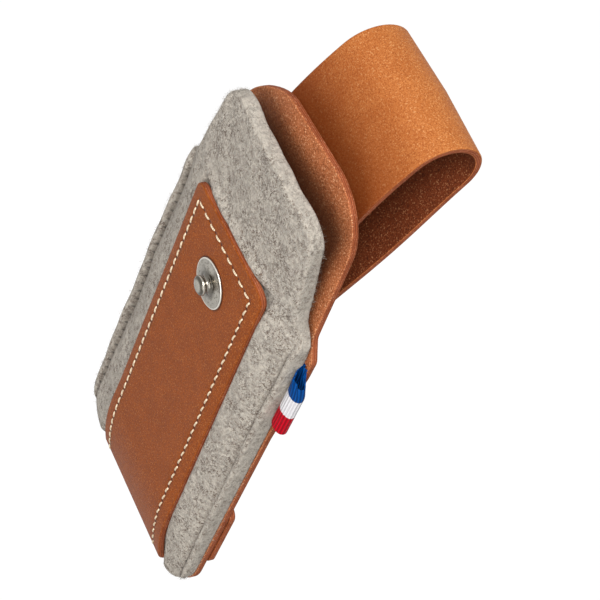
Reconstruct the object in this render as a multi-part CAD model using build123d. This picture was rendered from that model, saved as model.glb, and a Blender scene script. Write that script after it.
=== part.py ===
from build123d import *
from math import asin, cos, degrees, radians, sin, sqrt
import os

# Belt sheath for a folding knife: a felt pouch on a leather back panel, a leather strap with a
# press-stud down the front, and a closing strap folded into a belt loop behind the top.
# Millimetres. x is the width, y runs from the front strap's face to the back, and z is the height
# above the pouch's bottom edge. At the end everything moves to the middle of the belt loop's turn.

# Sheet goods
leather = 1.7
felt = 3.9
ribbon = 0.4
overrun = 40.0

# Pouch and seam
pouch_half_width = 29.2
pouch_corner_radius = 10.0
pinched_felt = 0.437
panel_lean_angle = 1.95
groove_inset = 2.0
rim_width = 1.0

# Felt outline
felt_shoulder_height = 108.2
felt_shoulder_radius = 3.5
felt_neck_half_width = 25.5
felt_neck_height = 111.6
felt_neck_radius = 2.0
felt_top_half_width = 21.6
felt_top_height = 142.3
felt_top_radius = 8.0
lip_height = 116.5

# Felt front: height as a share of the shoulder's, and the depths of the groove, the rim and the
# cut edge as shares of the felt between its middle and the seam
felt_station_shares = (
    (0.000, 0.28, 0.15, 0.58),
    (0.037, 0.14, 0.00, 0.35),
    (0.083, 0.17, 0.13, 0.34),
    (0.148, 0.36, 0.17, 0.31),
    (0.222, 0.42, 0.21, 0.33),
    (0.417, 0.57, 0.24, 0.35),
    (0.648, 0.44, 0.27, 0.36),
    (0.944, 0.52, 0.37, 0.45),
    (1.009, 0.36, 0.27, 0.33),
    (1.056, 0.25, 0.26, 0.30),
    (1.333, 0.22, 0.23, 0.27),
)

# Pocket between the felt and the panel
pocket_floor_height = 8.0
pocket_seam_half_width = 26.0
pocket_flat_half_width = 20.0
pocket_open_height = 102.0
mouth_seam_half_width = 31.0
mouth_flat_half_width = 21.0
mouth_height = 114.0

# Back panel outline
panel_waist_height = 70.0
panel_waist_radius = 40.0
panel_flare_half_width = 30.8
panel_flare_height = 98.0
panel_flare_radius = 20.0
panel_shoulder_height = 103.6
panel_shoulder_radius = 2.5
panel_neck_half_width = 27.4
panel_neck_height = 108.6
panel_neck_radius = 3.0
panel_top_half_width = 23.6
panel_top_height = 148.2
panel_top_radius = 15.5

# Straps
strap_half_width = 18.0
front_strap_top = 115.0
front_strap_corner_radius = 4.5
front_bend_height = 24.0
front_bend_radius = 83.0
fold_start_height = 1.54
fold_run = 0.8
crossbar_half_width = 29.5
crossbar_bottom = 12.5
crossbar_top = 35.5
crossbar_corner_radius = 2.5
root_bottom = 70.0
root_top = 92.0
root_corner_radius = 3.0

# Belt loop: runs and bends of the closing strap's outer face
root_bend_radius = 3.0
root_bend_angle = 28.2
loop_back_run = 59.0
loop_turn_radius = 10.0
loop_turn_angle = 175.3
loop_front_radius = 93.0
loop_front_angle = 11.0
loop_end_radius = 30.0
loop_end_run = 13.2
strap_end_radius = 6.0

# Press-stud on the front strap
stud_height = 95.5
stud_flange_radius = 6.15
stud_rim_thickness = 0.35
stud_dome_rise = 0.35
stud_foot_radius = 3.1
stud_neck_radius = 1.75
stud_neck_height = 1.45
stud_head_radius = 2.45
stud_head_height = 1.75
stud_head_round = 0.25
stud_total_height = 3.0
stud_bore_depth = 2.2
barrel_radius = 1.25
barrel_clearance = 0.1
eyelet_radius = 4.5
eyelet_thickness = 0.8
eyelet_clearance = 0.1

# Socket, spring ring and cap on the closing strap
snap_end_distance = 6.7
socket_flange_radius = 6.0
socket_flange_thickness = 0.7
socket_collar_radius = 4.3
socket_height = 3.1
socket_round = 0.4
socket_clearance = 0.25
spring_wire = 0.6
spring_gap_angle = 36.0
spring_squeeze = 0.35
spring_slot_height = 1.5
cap_radius = 6.25
cap_edge = 0.6
cap_rise = 2.1
cap_barrel_radius = 1.9
cap_flare_radius = 2.5
cap_flare_thickness = 0.4

# Ribbon in the near side seam
ribbon_width = 20.0
ribbon_height = 91.5
ribbon_root_length = 6.0
ribbon_hinge_gap = 0.1
ribbon_reach = 5.6
ribbon_loop_thickness = 2.9
ribbon_back_step = 0.1
ribbon_neck_reach = 2.3
ribbon_round = 1.35

def felt_front_depth(height):
    """Depth of the felt's middle, which lies against the strap's inner face."""
    below = max(0, front_bend_height - height)
    return front_bend_radius - sqrt((front_bend_radius - leather) ** 2 - below**2)


lean_sin = sin(radians(panel_lean_angle))
lean_cos = cos(radians(panel_lean_angle))
front_bend_angle = degrees(asin((front_bend_height - fold_start_height) / front_bend_radius))
seam_base_depth = felt_front_depth(0) + pinched_felt


def on_panel(along, back_by):
    """Depth and height of a point so far up the seam plane and so far behind it."""
    depth = seam_base_depth + along * lean_sin + back_by * lean_cos
    return Vector(depth, along * lean_cos - back_by * lean_sin)


def seam_depth(height):
    """Depth of the seam plane, where the felt meets the panel, at a height."""
    return seam_base_depth + height * lean_sin / lean_cos


def side_prism(face, half_width):
    """Solid from a side view, drawn as depth and height, as wide as two half widths."""
    return extrude(Plane.YZ * face, amount=half_width, both=True)


def closed_outline(half_points, radii):
    """Face of a symmetrical outline from its right half, with a radius at each corner."""
    mirrored = [(-x, y) for x, y in reversed(half_points)]
    corners = list(half_points) + mirrored
    corner_radii = list(radii) + list(reversed(radii))
    return make_face(FilletPolyline(*corners, radius=corner_radii, close=True))


def panel_sheet(face, back_by):
    """Leather sheet of an outline, lying so far behind the seam plane."""
    plane = Plane(origin=(0, seam_base_depth, 0), x_dir=(1, 0, 0), z_dir=(0, -lean_cos, lean_sin))
    return extrude(plane.offset(-back_by - leather) * face, amount=leather)


def strip_side(start, heading, steps, inward):
    """Edges of one face of a bent strip: runs, and left (+) or right (-) turns of given radii."""
    point = start
    direction = Vector(cos(radians(heading)), sin(radians(heading)))
    edges = []
    for run, turn, radius in steps:
        if run:
            edges.append(Line(point, point + direction * run))
            point = edges[-1] @ 1
        if turn:
            grown = -inward if turn > 0 else inward
            edges.append(JernArc(start=point, tangent=direction, radius=radius + grown, arc_size=turn))
            point = edges[-1] @ 1
            direction = edges[-1] % 1
    return edges, point


def strip(start, heading, steps, thickness):
    """Side view of a bent strip, whose steps follow its right-hand face."""
    left = Vector(-sin(radians(heading)), cos(radians(heading)))
    outer, outer_end = strip_side(start, heading, steps, 0)
    inner, inner_end = strip_side(start + left * thickness, heading, steps, thickness)
    ends = [Line(start, start + left * thickness), Line(outer_end, inner_end)]
    return make_face(outer + inner + ends), outer_end


def disc(radius, height, depth, length):
    """Round cutter or plate along y from a depth, standing at a height on the middle line."""
    plane = Plane(origin=(0, depth, height), x_dir=(1, 0, 0), z_dir=(0, 1, 0))
    return extrude(plane * Circle(radius), amount=length)


def turned(points, depth, height, facing):
    """Revolved piece from radius and height points, standing on a face at a depth."""
    plane = Plane(origin=(0, depth, height), x_dir=(1, 0, 0), z_dir=(0, 0, facing))
    profile = plane * make_face(Polyline(*points, close=True))
    return revolve(profile, axis=Axis((0, depth, height), (0, 1, 0)))


# Front strap
def fold_radius(start):
    """Radius that carries the strap's outer face from the fold's start to its place on the back."""
    target = on_panel(0, leather + leather)
    across = (target.X - start.X) * lean_cos - (target.Y - start.Y) * lean_sin
    return across / (1 + cos(radians(front_bend_angle + panel_lean_angle)))


def front_strap_solid():
    """Strap down the front, under the bottom and up the back, with its cross bar and stud hole."""
    turn = radians(front_bend_angle)
    fold_depth = front_bend_radius * (1 - cos(turn)) + fold_run * sin(turn)
    fold_height = front_bend_height - front_bend_radius * sin(turn) - fold_run * cos(turn)
    start = Vector(fold_depth, fold_height)
    radius = fold_radius(start)
    fold_end_height = fold_height + radius * (sin(turn) - lean_sin)
    fold_turn = 180 - front_bend_angle - panel_lean_angle
    steps = [
        (front_strap_top - front_bend_height, front_bend_angle, front_bend_radius),
        (fold_run, fold_turn, radius),
        ((crossbar_top - fold_end_height) / lean_cos, 0, 0),
    ]
    side_view, _ = strip(Vector(0, front_strap_top), 270, steps, leather)
    strap = side_prism(side_view, strap_half_width)
    corners = strap.edges().filter_by(Axis.Y).group_by(Axis.Z)[-1]
    strap = fillet(corners, front_strap_corner_radius)
    bar_corners = [(crossbar_half_width, crossbar_bottom), (crossbar_half_width, crossbar_top)]
    bar_outline = closed_outline(bar_corners, [crossbar_corner_radius, crossbar_corner_radius])
    strap = strap + panel_sheet(bar_outline, leather)
    hole_radius = barrel_radius + barrel_clearance
    return strap - disc(hole_radius, stud_height, 0, leather)


# Felt
def felt_section(height, groove_share, rim_share, edge_share):
    """Level section: flat under the strap, arched flanks, sewn groove, raised rim, flat back."""
    front = felt_front_depth(height)
    back = seam_depth(height)
    groove_x = pouch_half_width - groove_inset
    groove = (groove_x, front + (back - front) * groove_share)
    rim = (groove_x + rim_width, front + (back - front) * rim_share)
    edge = (pouch_half_width, front + (back - front) * edge_share)
    right = [groove, rim, edge, (pouch_half_width, back)]
    left = [(-x, y) for x, y in reversed(right)]
    flank_right = (strap_half_width, front)
    flank_left = (-strap_half_width, front)
    edges = [
        Line(flank_left, flank_right),
        TangentArc(flank_right, groove, tangent=(1, 0)),
        Polyline(*right, *left),
        TangentArc(flank_left, left[-1], tangent=(-1, 0)),
    ]
    return Plane(origin=(0, 0, height)) * make_face(edges)


def pocket_section(height, flat_half_width, seam_half_width):
    """Level section of the pocket: flat against the felt, wider where it meets the panel."""
    back = seam_depth(height)
    corners = [
        (-flat_half_width, leather + felt),
        (flat_half_width, leather + felt),
        (seam_half_width, back),
        (seam_half_width, back + leather),
        (-seam_half_width, back + leather),
        (-seam_half_width, back),
    ]
    return Plane(origin=(0, 0, height)) * make_face(Polyline(*corners, close=True))


def felt_solid(strap, root):
    """Whole felt front, hollowed for the pocket, the stud's eyelet and the ribbon's root."""
    sections = [felt_section(h * felt_shoulder_height, *shares) for h, *shares in felt_station_shares]
    pillow = loft(sections, ruled=True)
    corners = [
        (pouch_half_width, 0),
        (pouch_half_width, felt_shoulder_height),
        (felt_neck_half_width, felt_neck_height),
        (felt_top_half_width, felt_top_height),
    ]
    radii = [pouch_corner_radius, felt_shoulder_radius, felt_neck_radius, felt_top_radius]
    outline = Plane.XZ * closed_outline(corners, radii)
    pillow = pillow & extrude(outline, amount=overrun, both=True)
    pocket = [
        pocket_section(pocket_floor_height, pocket_flat_half_width, pocket_seam_half_width),
        pocket_section(pocket_open_height, pocket_flat_half_width, pocket_seam_half_width),
        pocket_section(mouth_height, mouth_flat_half_width, mouth_seam_half_width),
        pocket_section(felt_top_height + overrun, mouth_flat_half_width, mouth_seam_half_width),
    ]
    pillow = pillow - loft(pocket, ruled=True)
    pillow = pillow - strap
    recess_radius = eyelet_radius + eyelet_clearance
    pillow = pillow - disc(recess_radius, stud_height, leather, eyelet_thickness + eyelet_clearance)
    return pillow - root


# Leather back and the closing strap
def back_panel_solid(strap):
    """Flat back with its flared shoulder and rounded tab."""
    corners = [
        (pouch_half_width, 0),
        (pouch_half_width, panel_waist_height),
        (panel_flare_half_width, panel_flare_height),
        (panel_flare_half_width, panel_shoulder_height),
        (panel_neck_half_width, panel_neck_height),
        (panel_top_half_width, panel_top_height),
    ]
    radii = [
        pouch_corner_radius,
        panel_waist_radius,
        panel_flare_radius,
        panel_shoulder_radius,
        panel_neck_radius,
        panel_top_radius,
    ]
    return panel_sheet(closed_outline(corners, radii), 0) - strap


def strap_root_solid():
    """Sewn end of the closing strap, flat on the panel's back."""
    corners = [(strap_half_width, root_bottom), (strap_half_width, root_top)]
    return panel_sheet(closed_outline(corners, [root_corner_radius, 0]), leather)


def closing_strap_parts():
    """Free strap from the root's end round the belt loop, and the place of its snap."""
    end_turn = 270 - (90 - panel_lean_angle - root_bend_angle + loop_turn_angle + loop_front_angle)
    steps = [
        (0, -root_bend_angle, root_bend_radius),
        (loop_back_run, loop_turn_angle, loop_turn_radius),
        (0, loop_front_angle, loop_front_radius),
        (0, end_turn, loop_end_radius),
        (loop_end_run, 0, 0),
    ]
    start = on_panel(root_top, leather + leather)
    side_view, end = strip(start, 90 - panel_lean_angle, steps, leather)
    strap = side_prism(side_view, strap_half_width)
    strap = fillet(strap.edges().filter_by(Axis.Y), strap_end_radius)
    snap_height = end.Y + snap_end_distance
    hole_radius = cap_barrel_radius + barrel_clearance
    strap = strap - disc(hole_radius, snap_height, end.X, leather)
    return strap, end.X, snap_height


def loop_centre():
    """Middle of the belt loop's turn, as depth and height."""
    start = on_panel(root_top, leather + leather)
    heading = radians(90 - panel_lean_angle - root_bend_angle)
    bend = root_bend_radius
    depth = start.X + bend * (lean_cos - sin(heading)) + loop_back_run * cos(heading)
    height = start.Y + bend * (cos(heading) - lean_sin) + loop_back_run * sin(heading)
    depth = depth - loop_turn_radius * sin(heading)
    return depth, height + loop_turn_radius * cos(heading)


# Metal fittings
def snap_stud_solid():
    """Stud: domed flange, trumpet post and rounded head, bored from behind for the eyelet."""
    bore = barrel_radius + barrel_clearance
    shoulder = stud_rim_thickness + stud_dome_rise
    neck_step = (stud_foot_radius - stud_neck_radius) / 3
    points = [
        (bore, 0),
        (stud_flange_radius, 0),
        (stud_flange_radius, stud_rim_thickness),
        (stud_foot_radius, shoulder),
        (stud_neck_radius + neck_step, shoulder + stud_head_round),
        (stud_neck_radius, stud_neck_height),
        (stud_neck_radius, stud_head_height - stud_head_round),
        (stud_head_radius, stud_head_height),
        (stud_head_radius, stud_total_height - stud_head_round),
        (stud_head_radius - stud_head_round, stud_total_height),
        (0, stud_total_height),
        (0, stud_bore_depth),
        (bore, stud_bore_depth),
    ]
    return turned(points, 0, stud_height, -1)


def stud_eyelet_solid():
    """Eyelet behind the strap, whose barrel passes through it into the stud."""
    flange = disc(eyelet_radius, stud_height, leather, eyelet_thickness)
    barrel = disc(barrel_radius, stud_height, -stud_bore_depth, stud_bore_depth + leather)
    return flange + barrel


def snap_socket_solid(depth, height):
    """Socket ring on the strap's inner side, with the slot that holds the spring."""
    bore = stud_head_radius + socket_clearance
    slot = bore + spring_wire
    slot_top = spring_slot_height + spring_wire + barrel_clearance
    base_bore = cap_barrel_radius + barrel_clearance
    points = [
        (base_bore, 0),
        (socket_flange_radius, 0),
        (socket_flange_radius, socket_flange_thickness),
        (socket_collar_radius, socket_flange_thickness),
        (socket_collar_radius, socket_height - socket_round),
        (socket_collar_radius - socket_round, socket_height),
        (bore, socket_height),
        (bore, slot_top),
        (slot, slot_top),
        (slot, spring_slot_height),
        (bore, spring_slot_height),
        (bore, socket_flange_thickness),
        (base_bore, socket_flange_thickness),
    ]
    return turned(points, depth + leather, height, 1)


def socket_spring_solid(depth, height):
    """Split wire ring, squeezed to less than the head's radius."""
    wire = spring_wire / 2
    ring = stud_head_radius + socket_clearance - spring_squeeze + wire
    middle = depth + leather + spring_slot_height + wire
    place = Plane(origin=(ring, middle, height), x_dir=(1, 0, 0), z_dir=(0, 0, 1))
    axis = Axis((0, middle, height), (0, 1, 0))
    return revolve(place * Circle(wire), axis=axis, revolution_arc=360 - spring_gap_angle)


def snap_cap_solid(depth, height):
    """Domed cap on the outer side, riveted through the strap and the socket's base."""
    step = cap_radius / 3
    flare_base = leather + socket_flange_thickness
    points = [
        (0, cap_rise),
        (step, cap_rise - cap_edge / 4),
        (step + step, cap_edge + (cap_rise - cap_edge) / 2),
        (cap_radius, cap_edge),
        (cap_radius, 0),
        (cap_barrel_radius, 0),
        (cap_barrel_radius, -flare_base),
        (cap_flare_radius, -flare_base),
        (cap_flare_radius, -flare_base - cap_flare_thickness),
        (0, -flare_base - cap_flare_thickness),
    ]
    return turned(points, depth, height, -1)


# Ribbon
def ribbon_plane():
    """Plane across the ribbon's ribs, with y measured from the seam plane backwards."""
    depth, height = on_panel(ribbon_height, 0).X, on_panel(ribbon_height, 0).Y
    return Plane(origin=(0, depth, height), x_dir=(1, 0, 0), z_dir=(0, lean_sin, lean_cos))


def ribbon_root_solid():
    """Two layers of ribbon inside the seam."""
    inner = pouch_half_width - ribbon_root_length
    corners = [
        (inner, -ribbon - ribbon),
        (pouch_half_width, -ribbon - ribbon),
        (pouch_half_width, 0),
        (inner, 0),
    ]
    face = ribbon_plane() * make_face(Polyline(*corners, close=True))
    return extrude(face, amount=ribbon_width / 2, both=True)


def ribbon_tag_solid():
    """Folded ribbon outside the seam: an open teardrop loop."""
    start = pouch_half_width + ribbon_hinge_gap
    neck = start + ribbon_neck_reach
    tip = start + ribbon_reach
    back = -ribbon_back_step
    front = back - ribbon_loop_thickness
    outer = [
        (start, -ribbon - ribbon),
        (neck, front),
        (tip, front),
        (tip, back),
        (start, back),
    ]
    outer_radii = [0, ribbon_round, ribbon_round, ribbon_round, 0]
    inner = [
        (start + ribbon, back - ribbon),
        (neck + ribbon / 4, front + ribbon),
        (tip - ribbon, front + ribbon),
        (tip - ribbon, back - ribbon),
    ]
    inner_round = ribbon_round - ribbon
    inner_radii = [0, inner_round, inner_round, inner_round]
    outer_face = make_face(FilletPolyline(*outer, radius=outer_radii, close=True))
    inner_face = make_face(FilletPolyline(*inner, radius=inner_radii, close=True))
    face = ribbon_plane() * (outer_face - inner_face)
    return extrude(face, amount=ribbon_width / 2, both=True)


# Assembly
strap = front_strap_solid()
root = ribbon_root_solid()
felt_front = felt_solid(strap, root)
upper = Pos(0, 0, lip_height + overrun) * Box(overrun * 2, overrun * 2, overrun * 2)
closing_strap, snap_depth, snap_height = closing_strap_parts()
loop_depth, loop_height = loop_centre()

nodes = {
    "felt_body": felt_front - upper,
    "felt_lip": felt_front & upper,
    "back_panel": back_panel_solid(strap),
    "front_strap": strap,
    "snap_stud": snap_stud_solid(),
    "stud_eyelet": stud_eyelet_solid(),
    "strap_root": strap_root_solid(),
    "closing_strap": closing_strap,
    "snap_socket": snap_socket_solid(snap_depth, snap_height),
    "socket_spring": socket_spring_solid(snap_depth, snap_height),
    "snap_cap": snap_cap_solid(snap_depth, snap_height),
    "ribbon_root": root,
    "ribbon_tag": ribbon_tag_solid(),
}

print("loop centre", loop_depth, loop_height, "snap", snap_depth, snap_height)

os.makedirs("parts", exist_ok=True)
for name, shape in nodes.items():
    export_step(Pos(0, -loop_depth, -loop_height) * shape, f"parts/{name}.step")
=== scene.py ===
import bmesh
import bpy
import numpy as np
from mathutils import Matrix, Vector


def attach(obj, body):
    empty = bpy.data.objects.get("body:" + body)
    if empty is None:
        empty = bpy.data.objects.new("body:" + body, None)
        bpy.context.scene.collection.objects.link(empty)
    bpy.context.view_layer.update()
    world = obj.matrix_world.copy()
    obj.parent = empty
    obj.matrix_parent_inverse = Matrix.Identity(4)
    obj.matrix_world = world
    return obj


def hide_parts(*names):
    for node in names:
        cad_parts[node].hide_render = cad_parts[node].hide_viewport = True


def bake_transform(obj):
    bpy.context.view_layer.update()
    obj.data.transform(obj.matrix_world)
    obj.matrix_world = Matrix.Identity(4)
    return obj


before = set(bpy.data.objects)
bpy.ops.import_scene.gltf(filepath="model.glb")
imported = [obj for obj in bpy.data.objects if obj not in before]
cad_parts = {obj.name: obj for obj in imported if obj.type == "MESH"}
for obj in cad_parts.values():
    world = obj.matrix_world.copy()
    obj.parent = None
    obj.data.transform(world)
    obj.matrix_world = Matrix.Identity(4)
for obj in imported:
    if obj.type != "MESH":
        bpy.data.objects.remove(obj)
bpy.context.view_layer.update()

# The sheath's own millimetres: x across, y from the front strap's face to the back, z up from the
# pouch's bottom edge. The row's origin is the middle of the belt loop's turn.
LOOP_DEPTH, LOOP_HEIGHT = 33.679, 149.276
MILLIMETRE = 0.001  # in metres, as the Object coordinates are
MARK = 0.01  # a millimetre in the pieces' flat patterns, whose UV maps are in decimetres

LEATHER, FELT, RIBBON = 1.7, 3.9, 0.4  # thicknesses
LEATHER_ROUNDING, FELT_ROUNDING, RIBBON_ROUNDING = 0.32, 0.75, 0.12  # radii of the cut edges
SEAM_BASE, LEAN = 5.76, np.radians(1.95)  # the seam plane's depth at the bottom edge, and its lean
HALF_POUCH, HALF_STRAP, HALF_MOUTH = 29.2, 18.0, 25.0  # half widths; the mouth is the pocket's
STRAP_TOP, BEND_HEIGHT, BEND_RADIUS, BEND_TURN = 115.0, 24.0, 83.0, 15.7  # the front strap
FOLD_RUN, BAR_TOP, BAR_LENGTH, HALF_BAR = 0.8, 35.5, 23.0, 29.5  # its fold and its cross bar
LIP_HEIGHT, ROOT_BOTTOM, ROOT_TOP = 116.5, 70.0, 92.0  # the lip's hinge, the closing strap's end
STUD_HEIGHT, RIBBON_HEIGHT = 95.5, 91.5  # their middles
BACK_TWIST, TAB_TWIST = 0.5, 1.55  # how far the back and the tab lie back at the near side
TUCK = 0.78  # how far the felt is pressed back under the front strap's margin

PITCH, THREAD_RADIUS = 3.3, 0.27
STRAP_ROW, BACK_ROW, GROOVE = 14.5, 27.2, 27.25  # sewn rows, from the middle
STRAP_FIRST, BAR_ROW, ROOT_ROWS = 6.0, 3.2, (3.0, 19.5)  # sewn rows, from a strap's end

# Right halves of the flat outlines, as corners (x, length) and their radii, and how deep the felt
# lies in its sewn groove and at its rim, at given heights.
FELT_CORNERS = [(HALF_POUCH, 0), (HALF_POUCH, 108.2), (25.8, 112.4), (21.6, 142.3)]
FELT_RADII = [11, 3.5, 4.0, 8.0]
FELT_HEIGHTS = np.array([0, 4, 9, 16, 24, 45, 70, 90, 102, 109, 114, 122, 144.0])
GROOVE_DEPTHS = np.array([4.6, 4.05, 3.6, 3.55, 3.77, 4.9, 4.7, 5.3, 5.6, 4.3, 2.7, 2.45, 2.45])
RIM_DEPTHS = np.array([3.9, 3.5, 3.1, 2.8, 2.7, 3.05, 3.4, 3.9, 4.5, 3.45, 2.5, 2.35, 2.35])
PANEL_CORNERS = [(HALF_POUCH, 0), (HALF_POUCH, 70), (30.8, 98), (30.8, 103.6), (27.4, 108.6),
                 (23.6, 148.2)]
PANEL_RADII = [10, 40, 20, 2.5, 3, 15.5]


def placed(x, y, z):
    """Row-frame metres of points given in the sheath's own millimetres."""
    points = np.stack(np.broadcast_arrays(x, y - LOOP_DEPTH, z - LOOP_HEIGHT), axis=-1)
    return points * MILLIMETRE


def seam(z):
    """Depth of the leaning seam plane: it grows with height by the tangent of the lean."""
    return SEAM_BASE + z * np.tan(LEAN)


def on_panel(along, back_by):
    """Depth and height so far up the seam plane and so far behind it."""
    return (SEAM_BASE + along * np.sin(LEAN) + back_by * np.cos(LEAN),
            along * np.cos(LEAN) - back_by * np.sin(LEAN))


def ease(t):
    """Smooth step: 3t^2 - 2t^3, held at 0 and 1 outside."""
    t = np.clip(t, 0.0, 1.0)
    return t * t * (3.0 - 2.0 * t)


def rise(value, start, over):
    """0 up to a start, then eased to 1 over a stretch."""
    return ease((value - start) / over)


def fade(value, end, over):
    """Eased from 1 to 0 over the stretch before an end, and 0 from there on."""
    return ease((end - value) / over)


def twist(x, z):
    """How far the back and its seams lie further back at the near side, in proportion to x; the
    free tab is twisted more."""
    return BACK_TWIST * x / HALF_POUCH + TAB_TWIST * x / HALF_MOUTH * rise(z, 100, 45)


# ---------------------------------------------------------------- shapes
def rounded_path(corners, radii, turn_step=0.14):
    """Corners joined by straight runs, each inner corner replaced by the arc of its radius that
    touches both runs: tangent length r / tan(half the inner angle)."""
    path = [np.array(corners[0], float)]
    for a, b, c, r in zip(corners[:-2], corners[1:-1], corners[2:], radii):
        a, b, c = (np.array(p, float) for p in (a, b, c))
        u, v = (a - b) / np.linalg.norm(a - b), (c - b) / np.linalg.norm(c - b)
        half = np.arccos(np.clip(u @ v, -1, 1)) / 2
        centre = b + (u + v) / np.linalg.norm(u + v) * r / np.sin(half)
        p, q = b + u * r / np.tan(half) - centre, b + v * r / np.tan(half) - centre
        turn = np.pi - 2 * half
        k = np.linspace(0, 1, max(3, int(np.ceil(turn / turn_step)) + 1))[:, None]
        arc = (np.sin((1 - k) * turn) * p + np.sin(k * turn) * q) / np.sin(turn)
        path.extend(centre + arc)
    path.append(np.array(corners[-1], float))
    return np.array(path)


def stepped(path, spacing):
    """Points at equal lengths along the path, about spacing apart."""
    length = np.r_[0, np.cumsum(np.linalg.norm(np.diff(path, axis=0), axis=1))]
    at = np.linspace(0, length[-1], int(round(length[-1] / spacing)) + 1)
    return np.stack([np.interp(at, length, path[:, i]) for i in range(path.shape[1])], axis=1)


def half_outline(corners, radii, spacing):
    """Right half of a symmetrical flat pattern, from its bottom flat's end to its top flat's."""
    path = rounded_path([(0, corners[0][1])] + list(corners) + [(0, corners[-1][1])], radii)
    return stepped(path[1:-1], spacing)


def mesh_piece(name, verts, faces, material, caps=(), smooth=True, outward=True):
    """A mesh object from an array of points, an array of quads and lists of end faces, with its
    normals turned outwards."""
    mesh = bpy.data.meshes.new(name)
    mesh.from_pydata(verts.tolist(), [], faces.tolist() + list(caps))
    if outward:
        bm = bmesh.new()
        bm.from_mesh(mesh)
        bmesh.ops.recalc_face_normals(bm, faces=bm.faces)
        bm.to_mesh(mesh)
        bm.free()
    mesh.materials.append(material)
    mesh.polygons.foreach_set("use_smooth", np.full(len(mesh.polygons), smooth))
    obj = bpy.data.objects.new(name, mesh)
    bpy.context.scene.collection.objects.link(obj)
    return obj


def even(columns, crowding=1.25):
    """Shares of the half width from -1 to 1, a little closer together towards both edges."""
    return np.sin(np.linspace(-1, 1, columns) * crowding) / np.sin(crowding)


def between_rings(index):
    """Quads between successive closed rings of point numbers; the last axis runs round a ring."""
    after = np.roll(index, -1, axis=-1)
    corners = [index[..., :-1, :], after[..., :-1, :], after[..., 1:, :], index[..., 1:, :]]
    return np.stack(corners, -1).reshape(-1, 4)


def flat_layout(rim, across, thickness, rounding, steps=4):
    """Flat pattern points of a slab: a front grid, rings round its rounded edge, a back grid.
    Each ring is the grid's border, moved in by r(1 - sin a) and deep by r(1 - cos a)."""
    tangent = np.gradient(rim, axis=0)
    tangent[0], tangent[-1] = (1, 0), (-1, 0)
    normal = np.stack([tangent[:, 1], -tangent[:, 0]], axis=1)
    normal /= np.linalg.norm(normal, axis=1)[:, None]
    rows, columns = len(rim), len(across)

    def grid(inset, depth):
        """The rim moved in by an inset, and every share across each of its rows, at one depth."""
        line = rim - normal * inset
        x = line[:, :1] * across[None, :]
        points = [x, np.repeat(line[:, 1:], columns, 1), np.full_like(x, depth)]
        return np.stack(points, axis=-1).reshape(-1, 3)

    index = np.arange(rows * columns).reshape(rows, columns)
    border = np.r_[index[:, -1], index[-1, -2::-1], index[-2::-1, 0], index[0, 1:-1]]
    angles = np.linspace(0, np.pi / 2, steps + 1)[1:]
    layers = [(rounding * (1 - np.sin(a)), rounding * (1 - np.cos(a))) for a in angles]
    layers += [(inset, thickness - depth) for inset, depth in layers[::-1]]
    rings = [grid(inset, depth)[border] for inset, depth in layers]
    flat = np.concatenate([grid(rounding, 0.0), *rings, grid(rounding, thickness)])
    front = np.stack([index[:-1, :-1], index[:-1, 1:], index[1:, 1:], index[1:, :-1]], -1)
    front = front.reshape(-1, 4)
    edge = index.size + np.arange(len(rings) * len(border)).reshape(len(rings), -1)
    behind = index.size + edge.size
    sides = between_rings(np.vstack([border, edge, behind + border]))
    return flat, np.concatenate([front, front[:, ::-1] + behind, sides])


def slab(name, rim, across, thickness, rounding, shape, material, crease=None):
    """A cut sheet with rounded edges, carried from its flat pattern (x, length, depth) to space by
    shape. The pattern stays on it as a UV map, its depth share as Side, and a crease as Crease."""
    flat, faces = flat_layout(rim, across, thickness, rounding)
    x, length, depth = flat.T
    obj = mesh_piece(name, placed(*shape(x, length, depth)), faces, material)
    mesh = obj.data
    loops = np.empty(len(mesh.loops), int)
    mesh.loops.foreach_get("vertex_index", loops)
    uv = mesh.uv_layers.new(name="Pattern")
    uv.data.foreach_set("uv", (flat[loops, :2] * MARK).astype(np.float32).ravel())
    shares = {"Side": depth / thickness}
    if crease is not None:
        shares["Crease"] = crease(x, length)
    for label, values in shares.items():
        attribute = mesh.attributes.new(label, "FLOAT", "POINT")
        attribute.data.foreach_set("value", values.astype(np.float32))
    return obj


def run(length):
    """A step of a route that goes straight on."""
    return length, 0.0, 0.0


def bend(degrees, radius):
    """A step of a route that bends to the left, or to the right where its degrees are negative."""
    return 0.0, degrees, radius


def route(start, heading, steps):
    """Function from lengths and depths to (across, up) points on a path of runs and bends, and the
    path's length; depth is measured to the left of the path. On a bend of curvature k, the
    direction is a0 + k s and the point moves by (sin a - sin a0) / k, (cos a0 - cos a) / k."""
    legs = []
    point, angle, at = np.array(start, float), np.radians(heading), 0.0
    for length, turn, radius in steps:
        k = np.sign(turn) / radius if turn else 0.0
        length = abs(np.radians(turn)) * radius if turn else length
        legs.append((at, point[0], point[1], angle, k))
        end = angle + k * length
        if k:
            moved = np.array([np.sin(end) - np.sin(angle), np.cos(angle) - np.cos(end)]) / k
        else:
            moved = length * np.array([np.cos(angle), np.sin(angle)])
        point, angle, at = point + moved, end, at + length
    legs = np.array(legs)

    def follow(length, depth):
        """Across and up of points so far along the path and so deep to its left."""
        at_leg = np.searchsorted(legs[:, 0], length, side="right") - 1
        leg = legs[np.clip(at_leg, 0, len(legs) - 1)]
        s = length - leg[..., 0]
        a0, k = leg[..., 3], leg[..., 4]
        a = a0 + k * s
        bent = np.where(k == 0, 1.0, k)
        u = np.where(k == 0, s * np.cos(a0), (np.sin(a) - np.sin(a0)) / bent)
        v = np.where(k == 0, s * np.sin(a0), (np.cos(a0) - np.cos(a)) / bent)
        return leg[..., 1] + u - depth * np.sin(a), leg[..., 2] + v + depth * np.cos(a)

    return follow, at


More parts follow.
